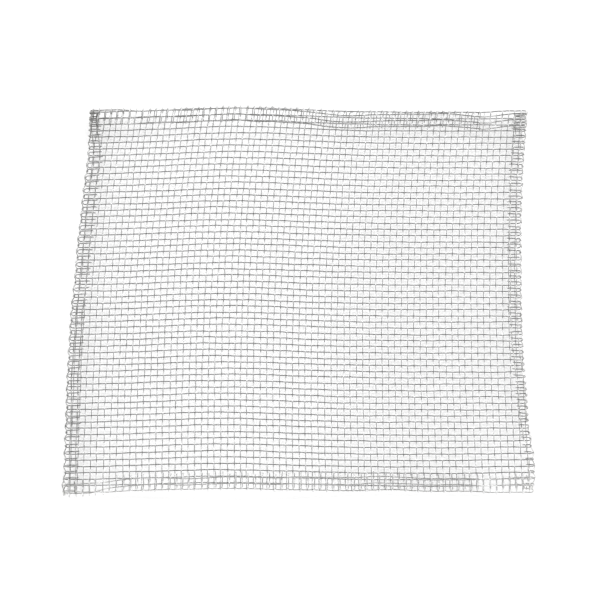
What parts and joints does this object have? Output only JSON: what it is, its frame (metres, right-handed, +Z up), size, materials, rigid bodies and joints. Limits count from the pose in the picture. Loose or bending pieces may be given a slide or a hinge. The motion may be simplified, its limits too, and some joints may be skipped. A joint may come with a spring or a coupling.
{
  "type": "wire gauze",
  "caption": "Square of plain-woven steel wire gauze, hemmed on all four sides, laid on a tripod or ring to carry a vessel over a flame.",
  "frame": {"origin": "under the middle of the square, on the surface that the gauze lies on", "axes": "+X to the right along the weft wires, +Y to the back along the warp wires, +Z up, with the folded hems on top"},
  "size_m": [0.0988, 0.0988, 0.0036],
  "materials": {
    "warp_wire": "bright galvanised wire, satin",
    "weft_wire": "bright galvanised wire, satin",
    "hem_wire": "galvanised wire, slightly dulled where folded"
  },
  "bodies": {
    "root": {"warp_wires_01": "warp_wire", "warp_wires_02": "warp_wire", "warp_wires_03": "warp_wire", "warp_wires_04": "warp_wire", "warp_wires_05": "warp_wire", "warp_wires_06": "warp_wire", "warp_wires_07": "warp_wire", "warp_wires_08": "warp_wire", "warp_wires_09": "warp_wire", "warp_wires_10": "warp_wire", "warp_wires_11": "warp_wire", "warp_wires_12": "warp_wire", "warp_wires_13": "warp_wire", "warp_wires_14": "warp_wire", "weft_wires_01": "weft_wire", "weft_wires_02": "weft_wire", "weft_wires_03": "weft_wire", "weft_wires_04": "weft_wire", "weft_wires_05": "weft_wire", "weft_wires_06": "weft_wire", "weft_wires_07": "weft_wire", "weft_wires_08": "weft_wire", "weft_wires_09": "weft_wire", "weft_wires_10": "weft_wire", "weft_wires_11": "weft_wire", "weft_wires_12": "weft_wire", "weft_wires_13": "weft_wire", "left_hem_warps": "hem_wire", "right_hem_warps": "hem_wire", "front_hem_wefts": "hem_wire", "back_hem_wefts": "hem_wire"}
  },
  "joints": []
}
